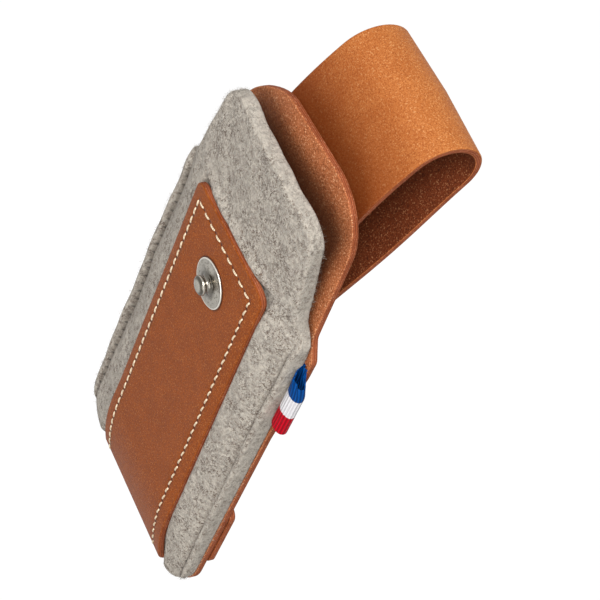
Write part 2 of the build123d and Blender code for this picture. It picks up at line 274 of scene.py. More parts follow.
def lathe(name, profile, material, sides=64):
    """A profile of radius and height, turned round the stud's axis: x = r cos a, z = r sin a, and
    the height runs forward from the strap's face."""
    profile = np.array(profile, float)
    rings = profile[1:-1]
    a = np.linspace(0, 2 * np.pi, sides, endpoint=False)
    x = np.r_[(rings[:, :1] * np.cos(a)).ravel(), 0, 0]
    z = np.r_[(rings[:, :1] * np.sin(a)).ravel(), 0, 0]
    forward = np.r_[np.repeat(rings[:, 1], sides), profile[0, 1], profile[-1, 1]]
    index = np.arange(len(rings) * sides).reshape(-1, sides)
    caps = []
    for ring, tip, way in ((index[0], index.size, -1), (index[-1], index.size + 1, 1)):
        pairs = zip(ring.tolist(), np.roll(ring, -1).tolist())
        caps += [[tip, *pair[::way]] for pair in pairs]
    points = placed(x, -forward, STUD_HEIGHT + z)
    return mesh_piece(name, points, between_rings(index), material, caps)


# ---------------------------------------------------------------- shader parts
class Sketch:
    """Short hands for laying nodes into one node tree."""

    def __init__(self, tree):
        self.tree, self.nodes = tree, tree.nodes

    def put(self, socket, value):
        """Give a socket a link from another socket, or a value of its own."""
        if hasattr(value, "is_output"):
            self.tree.links.new(value, socket)
        else:
            socket.default_value = value

    def fill(self, node, values):
        for key, value in values.items():
            self.put(node.inputs[key], value)

    def node(self, kind, inputs=None, **settings):
        made = self.nodes.new(kind)
        for key, value in settings.items():
            setattr(made, key, value)
        self.fill(made, inputs or {})
        return made

    def math(self, operation, a, b=0.0):
        return self.node("ShaderNodeMath", {0: a, 1: b}, operation=operation).outputs[0]

    def plus(self, a, b):
        return self.math("ADD", a, b)

    def minus(self, a, b):
        return self.math("SUBTRACT", a, b)

    def times(self, a, b):
        return self.math("MULTIPLY", a, b)

    def most(self, a, b):
        return self.math("MAXIMUM", a, b)

    def size(self, a):
        """A number without its sign."""
        return self.math("ABSOLUTE", a)

    def wave(self, a):
        return self.math("SINE", a)

    def distance(self, a, b):
        """(a^2 + b^2)^(1/2)"""
        return self.math("SQRT", self.plus(self.times(a, a), self.times(b, b)))

    def ramp(self, value, low, high, start=0.0, end=1.0):
        """Smooth step of a value between two of its levels."""
        inputs = {"Value": value, "From Min": low, "From Max": high, "To Min": start, "To Max": end}
        made = self.node("ShaderNodeMapRange", inputs, interpolation_type="SMOOTHSTEP")
        return made.outputs[0]

    def length_ramp(self, value, low, high, unit=MARK):
        """A ramp between two lengths in millimetres, for a value in the given unit."""
        return self.ramp(value, low * unit, high * unit)

    def noise(self, vector, scale, detail=2.0, rough=0.5, distortion=0.0):
        inputs = {"Vector": vector, "Scale": scale, "Detail": detail, "Roughness": rough,
                  "Distortion": distortion}
        return self.node("ShaderNodeTexNoise", inputs).outputs["Fac"]

    def turned(self, vector, turn, scale=(1.0, 1.0, 1.0)):
        inputs = {"Vector": vector, "Rotation": turn, "Scale": scale}
        return self.node("ShaderNodeMapping", inputs).outputs[0]

    def mix(self, factor, a, b, blend="MIX"):
        made = self.node("ShaderNodeMix", data_type="RGBA", blend_type=blend)
        self.fill(made, {0: factor, 6: a, 7: b})
        return made.outputs[2]

    def paint(self, under, mask, share, over):
        """A colour covered with another, given as a hex, by a share of the mask."""
        return self.mix(self.times(mask, share), under, rgb(over))

    def attribute(self, name):
        return self.node("ShaderNodeAttribute", attribute_name=name).outputs["Fac"]

    def pattern(self):
        """Place in the piece's flat pattern: across and along."""
        flat = self.node("ShaderNodeUVMap", uv_map="Pattern").outputs[0]
        return self.node("ShaderNodeSeparateXYZ", {0: flat}).outputs[:2]

    def bump(self, shader, height, strength, deep):
        """Bumps of a depth in millimetres."""
        inputs = {"Height": height, "Strength": strength, "Distance": deep * MILLIMETRE}
        self.put(shader.inputs["Normal"], self.node("ShaderNodeBump", inputs).outputs[0])


def rgb(text):
    """Linear colour of a six-digit sRGB hex: ((c + 0.055) / 1.055)^2.4 above the linear toe."""
    c = np.array([int(text[i:i + 2], 16) for i in (0, 2, 4)]) / 255
    c = np.where(c <= 0.04045, c / 12.92, ((c + 0.055) / 1.055) ** 2.4)
    return (*c.tolist(), 1.0)


def group(name, inputs, outputs):
    """An empty shader node group: its sketch, its input sockets and its output node. Inputs are
    numbers with their first values, or a vector where that is None; outputs are numbers."""
    tree = bpy.data.node_groups.new(name, "ShaderNodeTree")
    for label, value in inputs.items():
        kind = "NodeSocketVector" if value is None else "NodeSocketFloat"
        socket = tree.interface.new_socket(label, in_out="INPUT", socket_type=kind)
        if value is not None:
            socket.default_value = value
    for label in outputs:
        tree.interface.new_socket(label, in_out="OUTPUT", socket_type="NodeSocketFloat")
    taken = tree.nodes.new("NodeGroupInput").outputs
    return Sketch(tree), taken, tree.nodes.new("NodeGroupOutput")


def make_grain():
    """Leather's grain: a height from a fine noise and a faint net of cells, and masks of soft
    blotches, pale flecks and dark pores from other noises."""
    s, taken, given = group("leather_grain", {"Vector": None},
                            ["Height", "Blotch", "Fleck", "Pore"])
    where = taken["Vector"]
    cells = s.node("ShaderNodeTexVoronoi", {"Vector": where, "Scale": 2200},
                   feature="DISTANCE_TO_EDGE")
    net = s.ramp(cells.outputs["Distance"], 0.0, 0.12)
    s.fill(given, {
        "Height": s.plus(s.times(s.noise(where, 2600, 3, 0.6), 0.8), s.times(net, 0.2)),
        "Blotch": s.ramp(s.noise(where, 150, 5, 0.68, 0.4), 0.34, 0.66),
        "Fleck": s.ramp(s.noise(where, 2700, 1.5, 0.55, 0.5), 0.585, 0.69),
        "Pore": s.ramp(s.noise(where, 2700, 2, 0.6, 0.3), 0.48, 0.37)})
    return s.tree


def make_sewn_line():
    """Marks of one row of stitches in a pattern: holes at every pitch and a pressed line. Across is
    the distance from the row, Along the length on it and Shift its start, in the pattern's unit."""
    s, taken, given = group("sewn_line", {"Across": 0.0, "Along": 0.0, "Shift": 0.0},
                            ["Hole", "Pressed"])
    pitch = PITCH * MARK
    count = s.math("DIVIDE", s.plus(taken["Along"], taken["Shift"]), pitch)
    phase = s.math("FRACT", s.plus(count, 0.5))
    near = s.times(s.size(s.minus(phase, 0.5)), pitch)
    s.fill(given, {"Hole": s.length_ramp(s.distance(near, taken["Across"]), 0.50, 0.28),
                   "Pressed": s.length_ramp(s.size(taken["Across"]), 1.1, 0.0)})
    return s.tree


def make_fibres():
    """Wool felt: fine curled fibres, which are the level lines |n - 0.5| < w of soft noises, broken
    up and gathered in patches by other noises, over a lumpy ground."""
    s, taken, given = group("felt_fibres", {"Vector": None}, ["Dark", "Pale", "Lump", "Height"])
    where = taken["Vector"]
    layers = []
    for turn, scale, width in (((0.0, 0.4, 0.0), 1250, 0.042), ((0.5, -0.7, 0.3), 1700, 0.055),
                               ((0.9, 1.3, -0.4), 1400, 0.05)):
        p = s.turned(where, turn, (1.0, 1.0, 0.75))
        off_level = s.size(s.minus(s.noise(p, scale, 0.8, 0.5, 0.9), 0.5))
        broken = s.ramp(s.noise(p, scale * 0.7, 1), 0.43, 0.50)
        layers.append(s.times(s.ramp(off_level, width, width * 0.4), broken))
    patches = s.ramp(s.noise(where, 330, 3, 0.65), 0.40, 0.60, 0.3, 1.0)
    dark, pale = s.times(s.most(layers[0], layers[1]), patches), layers[2]
    lump = s.noise(where, 800, 4, 0.65)
    s.fill(given, {"Dark": dark, "Pale": pale, "Lump": lump,
                   "Height": s.plus(lump, s.times(s.minus(pale, dark), 0.22))})
    return s.tree


GRAIN, SEWN, FIBRES = make_grain(), make_sewn_line(), make_fibres()


def material(name):
    """A new node material: its sketch, its Principled shader and its Object coordinates."""
    made = bpy.data.materials.new(name)
    made.use_nodes = True
    s = Sketch(made.node_tree)
    shader = s.nodes["Principled BSDF"]
    return made, s, shader, s.node("ShaderNodeTexCoord").outputs["Object"]


def turn_shade(s, across, along):
    """Mask, share and colour of the painted shade on the belt loop, darker along its turn down to
    the run facing the back panel.
    """
    return s.length_ramp(along, 94, 138), 0.9, "5E1C00"


def stud_shade(s, across, along):
    """Mask, share and colour of the painted contact shadow, a dark ring round the stud's flange."""
    up = s.minus(along, (STRAP_TOP - STUD_HEIGHT) * MARK)
    return s.length_ramp(s.distance(across, up), 6.8, 6.2), 0.75, "2E1408"


def gap_shade(s, across, along):
    """Mask, share and colour of the painted shade in the gap behind the felt lip."""
    middle = s.length_ramp(s.size(across), 25, 19)
    height = s.times(s.length_ramp(along, 104, 112), s.length_ramp(along, 146, 134))
    return s.times(middle, height), 0.8, "35190E"


def leather(name, shade, face, dark, pale, deep, inner, speckle, rows=()):
    """Bonded leather: a fine smooth outer face with a painted shade from its shade function, a
    rough flecked inner face, a paler cut edge of wavy plies, and the marks of its stitch rows. Each
    row runs along or across the pattern and is (way, place, shift, low, high) in millimetres; a row
    along is on both sides of the middle."""
    made, s, shader, where = material(name)
    grain = s.node("ShaderNodeGroup", {"Vector": where}, node_tree=GRAIN).outputs
    blotch, fleck, pore = grain["Blotch"], grain["Fleck"], grain["Pore"]
    side = s.attribute("Side")
    is_inner = s.ramp(side, 0.90, 0.97)
    is_edge = s.times(s.ramp(side, 0.10, 0.22), s.ramp(side, 0.95, 0.84))
    x, length = s.pattern()

    smooth = s.paint(rgb(face), blotch, 0.45, dark)
    smooth = s.paint(smooth, s.ramp(grain["Height"], 0.60, 0.42), 0.8, dark)
    smooth = s.paint(smooth, pore, speckle * 0.75, deep)
    smooth = s.paint(smooth, fleck, speckle, pale)
    # Painted shade: each piece's shade function darkens its outer face where shade falls.
    smooth = s.paint(smooth, *shade(s, x, length))

    rough = s.paint(rgb(inner), blotch, 0.3, "54260F")
    rough = s.paint(rough, pore, 0.6, "2E1308")
    rough = s.paint(rough, fleck, 0.4, "C08A60")

    plies = s.wave(s.plus(s.times(side, 22.0), s.times(s.noise(where, 500, 3), 8.0)))
    cut = s.paint(rgb("9E5636"), blotch, 1.0, "864426")
    cut = s.paint(cut, fleck, 0.5, "C98E6C")
    cut = s.paint(cut, s.ramp(plies, 0.0, 0.9), 0.65, "4C2010")

    colour = s.mix(is_edge, s.mix(is_inner, smooth, rough), cut)
    height = grain["Height"]
    for way, place, shift, low, high in rows:
        off, at = (s.size(x), length) if way == "along" else (length, x)
        marks = s.node("ShaderNodeGroup", {"Across": s.minus(off, place * MARK), "Along": at,
                                           "Shift": shift * MARK}, node_tree=SEWN).outputs
        span = s.times(s.length_ramp(at, low - 0.2, low), s.length_ramp(at, high + 0.2, high))
        on = s.times(span, s.ramp(side, 0.2, 0.05))
        pressed = s.times(marks["Pressed"], on)
        colour = s.paint(colour, pressed, 0.35, "7A3F20")
        colour = s.paint(colour, s.times(marks["Hole"], on), 0.8, "2A1208")
        height = s.minus(height, s.times(pressed, 2.2))
    dull = s.plus(s.times(grain["Height"], 0.22), s.ramp(side, 0.05, 0.3, 0.42, 0.62))
    s.fill(shader, {"Base Color": colour, "Roughness": dull, "Specular IOR Level": 0.12})
    s.bump(shader, height, 0.6, 0.18)
    return made


def felt_material():
    """Grey wool felt: warm grey with brown and pale fibres, a paler cut edge, painted shade
    darkening its sewn groove, the holes of its stitches, a soft sheen and a deep nap."""
    made, s, shader, where = material("wool_felt")
    fibres = s.node("ShaderNodeGroup", {"Vector": where}, node_tree=FIBRES).outputs
    side, crease = s.attribute("Side"), s.attribute("Crease")
    x, length = s.pattern()
    colour = s.mix(s.ramp(fibres["Lump"], 0.36, 0.62), rgb("9C9388"), rgb("B9B0A3"))
    colour = s.paint(colour, fibres["Pale"], 0.55, "CBC4B9")
    colour = s.paint(colour, fibres["Dark"], 0.9, "553E2C")
    cut = s.times(s.ramp(side, 0.02, 0.2), s.ramp(side, 0.98, 0.8))
    colour = s.paint(colour, cut, 0.4, "BDB5A9")
    marks = s.node("ShaderNodeGroup", {"Across": s.minus(s.size(x), GROOVE * MARK),
                                       "Along": length}, node_tree=SEWN).outputs
    # Painted shade along the sewn groove's crease; the holes in it are the stitches' own marks.
    colour = s.paint(colour, crease, 0.68, "54483B")
    colour = s.paint(colour, s.times(marks["Hole"], crease), 0.8, "2B231C")
    s.fill(shader, {"Base Color": colour, "Roughness": 0.95, "Specular IOR Level": 0.15,
                    "Sheen Weight": 0.12, "Sheen Roughness": 0.6})
    s.bump(shader, fibres["Height"], 0.9, 0.7)
    return made


def fuzz_material():
    """Loose wool hairs, from pale to brown by place."""
    made, s, shader, where = material("wool_hair")
    colour = s.mix(s.ramp(s.noise(where, 900, 1), 0.4, 0.62), rgb("B9B2A7"), rgb("7D7166"))
    s.fill(shader, {"Base Color": colour, "Roughness": 0.9, "Specular IOR Level": 0.1})
    return made


def thread_material():
    """Waxed linen thread: cream with faint twisted plies."""
    made, s, shader, where = material("cream_thread")
    inputs = {"Vector": s.turned(where, (0.0, 0.6, 0.0)), "Scale": 620.0, "Distortion": 1.5}
    plies = s.node("ShaderNodeTexWave", inputs).outputs["Fac"]
    s.fill(shader, {"Base Color": s.paint(rgb("E2D2B6"), plies, 0.7, "A98F6C"), "Roughness": 0.7})
    s.bump(shader, plies, 0.6, 0.1)
    return made


def nickel_material(name, dull):
    """Nickel plate with small dull spots, painted darker where it turns away from the eye as a
    painted reflection. On the stud, painted shade darkens it round the post's foot and a painted
    dark reflection makes a ring on the head; a painted highlight keeps its rim bright."""
    made, s, shader, where = material(name)
    away = s.node("ShaderNodeLayerWeight", {"Blend": 0.5}).outputs["Facing"]
    spots = s.ramp(s.noise(where, 1500, 3, 0.7), 0.52, 0.66)
    cloud = s.noise(where, 500, 3, 0.6)
    x, y, z = s.node("ShaderNodeSeparateXYZ", {0: where}).outputs
    radius = s.distance(x, s.minus(z, (STUD_HEIGHT - LOOP_HEIGHT) * MILLIMETRE))
    front = s.plus(y, LOOP_DEPTH * MILLIMETRE)

    def within(value, low, high):
        """Ramp between two lengths in millimetres, of a length in metres."""
        return s.length_ramp(value, low, high, MILLIMETRE)

    # Masks of the painted shade round the post's foot and of a painted dark reflection in a ring on
    # the head.
    foot = s.times(within(radius, 4.2, 2.6), within(s.size(front), 2.2, 0.9))
    ring = s.times(within(radius, 1.2, 1.9), within(front, -2.7, -3.0))
    # Painted reflection: the plate is painted darker where it turns away from the eye.
    plate = s.mix(s.ramp(away, 0.35, 0.95), rgb("B4AFA5"), rgb("6E675C"))
    plate = s.paint(plate, spots, dull, "4A453C")
    # The painted shade at the foot and the painted reflection ring, in one dark colour.
    plate = s.paint(plate, s.most(s.times(foot, 0.75), s.times(ring, 0.85)), 1.0, "3A342B")
    # Painted highlight on the flange's rim.
    plate = s.paint(plate, within(radius, 5.75, 5.9), 1.0, "D8D4CA")
    smooth, rough = 0.10 + dull * 0.2, 0.26 + dull * 0.3
    rough = s.ramp(s.plus(cloud, s.times(spots, 0.3)), 0.3, 0.9, smooth, rough)
    s.fill(shader, {"Base Color": plate, "Metallic": 1.0, "Roughness": rough})
    s.bump(shader, cloud, 0.25, 0.12)
    return made


def ribbon_material():
    """Grosgrain ribbon: ribs across its width, and three stripes along it in blue, white and red
    whose borders are a little frayed."""
    made, s, shader, where = material("grosgrain")
    width, length = s.pattern()
    fray = s.times(s.minus(s.noise(where, 1800, 2), 0.5), 0.6 * MARK)
    at = s.plus(width, fray)
    dyed = s.mix(s.length_ramp(at, -0.1, 0.1), rgb("C2001E"), rgb("00468C"))
    white = s.times(s.length_ramp(at, -3.35, -3.20), s.length_ramp(at, 3.20, 3.05))
    colour = s.mix(white, dyed, rgb("DDDADC"))
    ribs = s.plus(s.times(s.wave(s.times(length, 2 * np.pi / (0.85 * MARK))), 0.5), 0.5)
    yarn = s.size(s.wave(s.times(width, 2 * np.pi / (0.9 * MARK))))
    between = s.times(s.minus(1.0, ribs), s.ramp(white, 0.0, 1.0, 0.62, 0.2))
    colour = s.mix(between, colour, rgb("46323C"), "MULTIPLY")
    s.fill(shader, {"Base Color": colour, "Roughness": 0.55, "Specular IOR Level": 0.08})
    s.bump(shader, s.plus(ribs, s.times(yarn, 0.15)), 0.8, 0.25)
    return made


cream, felt, fuzz = thread_material(), felt_material(), fuzz_material()
# The front strap is the same leather as the closing strap; its darker face is a painted-shade copy
# for a face turned from the light above.
front_leather = leather(
    "front_strap_leather", stud_shade, face="934810", dark="73340C", pale="BE8048", deep="421C0A",
    inner="6E3418", speckle=0.5,
    rows=[("along", STRAP_ROW, 0.6, 6, 115), ("across", STRAP_FIRST, 1.55, -STRAP_ROW, STRAP_ROW)])
# The closing strap's inner face is painted darker than the back panel's same rough side, as painted
# shade inside the belt loop.
loop_leather = leather(
    "closing_strap_leather", turn_shade, face="C47A40", dark="A65A26", pale="E0A870", deep="74320C",
    inner="642C12", speckle=0.55,
    rows=[("along", STRAP_ROW, 0.0, *ROOT_ROWS),
          *[("across", place, 1.55, -STRAP_ROW, STRAP_ROW) for place in ROOT_ROWS]])
panel_leather = leather(
    "back_panel_leather", gap_shade, face="B66E44", dark="925030", pale="DCAA80", deep="4E240E",
    inner="9A5630", speckle=0.8)
nickel, dull_nickel = nickel_material("nickel", 0.15), nickel_material("dull_nickel", 0.75)
grosgrain = ribbon_material()


# ---------------------------------------------------------------- sheath shapes
def curve(z, heights, depths):
    """Smooth curve through given depths: cubic Hermite, with central-difference slopes."""
    slopes = np.gradient(depths, heights)
    i = np.clip(np.searchsorted(heights, z, side="right") - 1, 0, len(heights) - 2)
    h = heights[i + 1] - heights[i]
    t = np.clip((z - heights[i]) / h, 0, 1)
    return ((1 + 2 * t) * (1 - t) ** 2 * depths[i] + t * (1 - t) ** 2 * h * slopes[i]
            + t * t * (3 - 2 * t) * depths[i + 1] + t * t * (t - 1) * h * slopes[i + 1])


def strap_top(x, drop=1.0, slant=1.3):
    """Height of the front strap's top edge, which runs a little aslant, lower at the far side."""
    share = np.clip(x, -HALF_STRAP, HALF_STRAP) / (2 * HALF_STRAP)
    return STRAP_TOP - drop - slant * (0.5 - share)


def strap_setback(x, start=12.5, most=0.75):
    """How far the front strap's margin lies behind its middle: up to its edge by the power 1.8."""
    return most * np.clip((np.abs(x) - start) / (HALF_STRAP - start), 0, 1.2) ** 1.8


def lip_bow(x, z, bow=1.65, more=0.65, forward=0.35):
    """How far the free lip curves back across its width, more at the near side: (x / 25)^2; its
    top leans forward a little on the near half."""
    share = x / HALF_MOUTH
    back = (bow + more * np.clip(share, -1, 1)) * share ** 2 * rise(z, 103, 10)
    return back - forward * rise(z, 118, 18) * rise(x, 2, 18)


def felt_front(x, z):
    """Depth of the felt's front: the strap's inner face in the middle, a swelling beside the
    strap's cut edge, a bowed flank down to the sewn groove, a steep step up to the rim, the free
    lip's bow, and a slow waviness of sines. By the fold it stands 1.9 mm proud of the strap."""
    ax, top = np.abs(x), strap_top(x)
    below = np.clip(BEND_HEIGHT - z, 0, None)
    front = BEND_RADIUS - np.sqrt((BEND_RADIUS - LEATHER) ** 2 - below ** 2)
    front = front - 1.9 * rise(ax, HALF_STRAP - 0.3, 3.2) * fade(z, 19, 19)
    groove = curve(z, FELT_HEIGHTS, GROOVE_DEPTHS) + twist(x, 60)
    rim = curve(z, FELT_HEIGHTS, RIM_DEPTHS) + twist(x, 60)
    q = np.clip((ax - HALF_STRAP) / (HALF_POUCH - 2.0 - HALF_STRAP), 0, 1)
    flank = front + (groove - front) * (0.45 * q ** 1.4 + 0.55 * q ** 3.4)
    depth = flank + (rim - flank) * rise(ax, GROOVE - 0.1, 0.9) * fade(z, 111, 10)
    depth = np.where(ax < HALF_STRAP, front, depth)

    covered = fade(ax, HALF_STRAP + 0.06, 0.05) * fade(z, top + 0.06, 0.05)
    tucked = TUCK * rise(ax, 14, 3.5) + lip_bow(x, z)
    beside = np.maximum(np.clip(ax - HALF_STRAP, 0, None), np.clip(z - top, 0, None))
    swelling = np.exp(-((beside - 0.5) / 1.8) ** 2) * rise(beside, 0, 0.3) * rise(z, 0, 14)
    waves = (0.15 * np.sin(x * 0.31 + 1.3) * np.sin(z * 0.19 + 0.4)
             + 0.09 * np.sin(x * 0.7 + z * 0.43))
    margin = TUCK * fade(z, top + 3, 3) * fade(ax, HALF_STRAP + 3.5, 3.5) * rise(ax, 11, 6)
    free = margin + lip_bow(x, z) - swelling + waves * np.clip(beside / 3, 0, 1)
    return depth + covered * np.maximum(tucked, 0) + (1 - covered) * free


def felt_back(x, z):
    """Depth of the felt's back: on the seam plane along the sewn edge, one felt thickness behind
    the front over the pocket, eased from one to the other across the seam and at the shoulder."""
    inner = np.clip(x, -HALF_MOUTH, HALF_MOUTH)
    behind = felt_front(inner, z) + lip_bow(x, z) - lip_bow(inner, z) + FELT
    open_part = np.maximum(fade(np.abs(x), 26.0, 6.5), rise(z, 103, 9))
    sewn = seam(z) + BACK_TWIST * x / HALF_POUCH
    return np.minimum(sewn, sewn + (behind - sewn) * open_part)


def felt_shape(x, z, depth):
    """Space point of the felt's pattern: between its front and back depths by its depth share."""
    front, back = felt_front(x, z), felt_back(x, z)
    back = np.maximum(back, front + 0.4)
    return x, front + (back - front) * depth / FELT, z


def sewn_crease(x, length, width=0.42):
    """How deep in the felt's sewn groove: a bell exp(-(distance / width)^2), faded at the lip."""
    return np.exp(-((np.abs(x) - GROOVE) / width) ** 2) * fade(length, 105, 4)


def front_route():
    """Path of the front strap's outer face from its top, round the fold, to its end on the back."""
    turn = np.radians(BEND_TURN)
    depth = BEND_RADIUS * (1 - np.cos(turn)) + FOLD_RUN * np.sin(turn)
    height = BEND_HEIGHT - BEND_RADIUS * np.sin(turn) - FOLD_RUN * np.cos(turn)
    base_depth, base_height = on_panel(0.0, 2 * LEATHER)
    across = (base_depth - depth) * np.cos(LEAN) - (base_height - height) * np.sin(LEAN)
    radius = across / (1 + np.cos(turn + LEAN))
    end = height + radius * (np.sin(turn) - np.sin(LEAN))
    steps = [run(STRAP_TOP - BEND_HEIGHT), bend(BEND_TURN, BEND_RADIUS), run(FOLD_RUN),
             bend(180 - BEND_TURN - np.degrees(LEAN), radius), run((BAR_TOP - end) / np.cos(LEAN))]
    return route((0.0, STRAP_TOP), 270, steps)


def loop_route():
    """Path of the closing strap's outer face from its sewn end, up the back and round the loop."""
    start = on_panel(ROOT_BOTTOM, 2 * LEATHER)
    steps = [run(ROOT_TOP - ROOT_BOTTOM), bend(-28.2, 3.0), run(59.0), bend(175.3, 10.0),
             bend(11.0, 93.0), bend(23.95, 30.0), run(13.2)]
    return route(start, 90 - np.degrees(LEAN), steps)


def ribbon_route():
    """Path of the ribbon's outer face, seen from above as (x, distance behind the seam plane)."""
    steps = [run(5.5), bend(-60.0, 0.8), run(0.6), bend(95.0, 3.2), bend(145.0, 1.45), run(9.6)]
    return route((23.2, -0.8), 0, steps)


front_path, front_length = front_route()
loop_path, loop_length = loop_route()
ribbon_path, ribbon_length = ribbon_route()
BAR_START = front_length - BAR_LENGTH


def front_shape(x, length, depth):
    """Front strap: its path, with the margins set back on the front and faded out by the fold; its
    top runs a little aslant, and its bar follows the back."""
    y, z = front_path(length, depth)
    aslant = (STRAP_TOP - strap_top(x)) * fade(length, 9, 9)
    setback = strap_setback(x) * fade(length, 108, 25) + twist(x, 20) * rise(length, 117, 8)
    return x, y + setback, z - aslant


def panel_shape(x, length, depth):
    """Back panel: on the seam plane, counted upwards from the bottom edge; the tab's far corner
    is drawn in, back and down a little."""
    y, z = on_panel(length, depth)
    far = fade(x, -5, 16) * rise(length, 122, 24)
    return x + 1.5 * far, y + twist(x, z) + 1.6 * far, z - 2.4 * far


def loop_shape(x, length, depth):
    """Closing strap: its path, whose back run bulges out by a squared sine of 1 mm, and whose far
    edge droops forward over the turn; its sewn end follows the back."""
    bulge = np.sin(np.pi * np.clip((length - 30) / 54, 0, 1)) ** 2
    y, z = loop_path(length, depth - bulge)
    droop = 0.8 * np.clip(-x / HALF_STRAP, 0, 1) * rise(length, 62, 25)
    return x, y - droop + twist(x, 80) * fade(length, 30, 10), z - droop


def ribbon_shape(across, length, depth):
    """Ribbon: its path from above, swept up the seam plane; near its top it is drawn in towards
    the seam by half its reach, its front layer dips and sines along its length crumple it."""
    x, behind = ribbon_path(length, depth)
    dip = (0.9 + 2.9 * rise(length, 6, 8)) * rise(across, 2.5, 7.5)
    dip = dip * rise(length, 4.5, 2.5) * fade(length, 18, 3.5)
    drawn = ease((across - dip - 3) / 7)
    outside = np.clip(x - HALF_POUCH, 0, None)
    crumple = drawn * rise(outside, 0, 1.5)
    x = x - outside * 0.52 * drawn + 0.25 * crumple * np.sin(length * 3.1 + across)
    behind = behind * (1 - 0.1 * drawn) + 0.4 * crumple * np.sin(length * 2.3 + 0.5)
    y, z = on_panel(RIBBON_HEIGHT + across - dip, np.minimum(behind, -0.02))
    return x, y + twist(HALF_POUCH, 90), z


# ---------------------------------------------------------------- sheath pieces
def sewn_row(shape, x, length, slant=0.12, gap=0.13, lift=0.02):
    """Ends and outward directions of the stitches between successive marks of a row on a shaped
    sheet; out is found from a small step off the sheet's outer face."""
    x, length = np.broadcast_arrays(x, length)
    face = np.zeros(len(x) - 1)
    first = np.stack(shape(x[:-1], length[:-1], face), -1)
    second = np.stack(shape(x[1:], length[1:], face), -1)
    below = np.stack(shape(x[:-1], length[:-1], face + 1.0), -1)
    span = second - first
    out = (first - below) / np.linalg.norm(first - below, axis=1)[:, None]
    along = span / np.linalg.norm(span, axis=1)[:, None]
    sideways = np.cross(out, along) * slant
    raised = out * lift
    return first + span * gap - sideways + raised, second - span * gap + sideways + raised, out


def stitches(name, rows, rings=9, sides=6):
    """Raised stitches of some rows: a bent tube each, whose line rises by a rounded sine from
    below the leather and whose ends taper, so r = R (1 - |2a - 1|^6)^(1/2)."""
    starts, ends, out = (np.concatenate(parts) for parts in zip(*rows))
    a = np.linspace(0, 1, rings)
    span = ends - starts
    raised = THREAD_RADIUS * (np.sin(np.pi * a) ** 0.45 * 1.25 - 0.75)
    line = starts[:, None] + span[:, None] * a[None, :, None]
    line = line + out[:, None] * raised[None, :, None]
    across = np.cross(out, span / np.linalg.norm(span, axis=1)[:, None])
    fat = THREAD_RADIUS * np.sqrt(np.clip(1 - np.abs(2 * a - 1) ** 6, 0.08, 1))
    ang = np.linspace(0, 2 * np.pi, sides, endpoint=False)[None, None, :, None]
    shell = np.cos(ang) * across[:, None, None, :] + 0.85 * np.sin(ang) * out[:, None, None, :]
    points = line[:, :, None, :] + shell * fat[None, :, None, None]
    index = np.arange(len(starts) * rings * sides).reshape(-1, rings, sides)
    caps = np.concatenate([index[:, 0, ::-1], index[:, -1]]).tolist()
    return mesh_piece(name, placed(*points.reshape(-1, 3).T), between_rings(index), cream, caps)


def make_felt():
    """The felt front with its free lip, in one piece from the bottom edge to the top. Its columns
    are closest along the strap's edge and the sewn groove."""
    rim = half_outline(FELT_CORNERS, FELT_RADII, 0.7)
    columns = np.r_[np.linspace(0, 16.5, 12), 17.4, 17.85, 18.02, 18.1, 18.25, 18.5, 18.9, 19.4,
                    np.arange(20, 26.5, 0.65), np.arange(26.6, 29.1, 0.2), HALF_POUCH]
    half = columns / HALF_POUCH
    obj = slab("felt_cover", rim, np.r_[-half[:0:-1], half], FELT, FELT_ROUNDING, felt_shape, felt,
               sewn_crease)
    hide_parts("felt_body", "felt_lip")
    tuple(placed(0, 0, LIP_HEIGHT - 3))
    tuple(placed(0, 0, LIP_HEIGHT + 4))
    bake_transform(obj)


def make_fuzz(name, count, low, high, seed, radius=0.022):
    """Loose hairs on the felt: thin three-sided tapers of three bent lengths, rooted on its front
    and on its cut edges, leaning along the surface; none under the strap or in the ribbon."""
    rng = np.random.default_rng(seed)
    rim = half_outline(FELT_CORNERS, FELT_RADII, 1.0)
    z = rng.uniform(max(low, 0.4), high, count)
    half = np.interp(z, rim[:, 1], rim[:, 0])
    edge = rng.random(count) < 0.45
    sign = np.where(rng.random(count) < 0.5, -1.0, 1.0)
    x = np.where(edge, sign * half, rng.uniform(-1, 1, count) * half)
    depth = np.where(edge, rng.uniform(0.3, 3.6, count), 0.0)
    hidden = (np.abs(x) < HALF_STRAP + 0.3) & (z < STRAP_TOP + 0.3)
    hidden |= (x > 28.5) & (np.abs(z - RIBBON_HEIGHT) < 11.5)
    x, z, depth, edge, sign = (v[~hidden] for v in (x, z, depth, edge, sign))

    count = len(x)
    root = np.stack(felt_shape(x, z, depth), -1)
    sideways = np.stack([sign, np.zeros(count), np.zeros(count)], -1)
    out = np.where(edge[:, None], sideways, np.array([0.0, -1.0, 0.0]))
    lean = rng.normal(size=(count, 3))
    lean -= np.sum(lean * out, 1)[:, None] * out
    lean /= np.linalg.norm(lean, axis=1)[:, None]
    reach = rng.uniform(0.4, 1.3, count)[:, None]
    lift = rng.uniform(0.05, 0.42, count)[:, None]
    curl = rng.normal(size=(count, 3)) * 0.16

    t = np.linspace(0, 1, 4)[None, :, None]
    line = root[:, None] + (lean * reach)[:, None] * t
    line = line + (out * lift * reach)[:, None] * np.sin(t * 2.2) + curl[:, None] * t * t
    ang = np.linspace(0, 2 * np.pi, 3, endpoint=False)[None, None, :, None]
    shell = np.cos(ang) * np.cross(out, lean)[:, None, None] + np.sin(ang) * out[:, None, None]
    wide = radius * np.array([1.0, 0.9, 0.7, 0.2])[None, :, None, None]
    points = (line[:, :, None] + shell * wide).reshape(-1, 3)
    quads = between_rings(np.arange(len(points)).reshape(-1, 4, 3))
    return mesh_piece(name, placed(*points.T), quads, fuzz, outward=False)


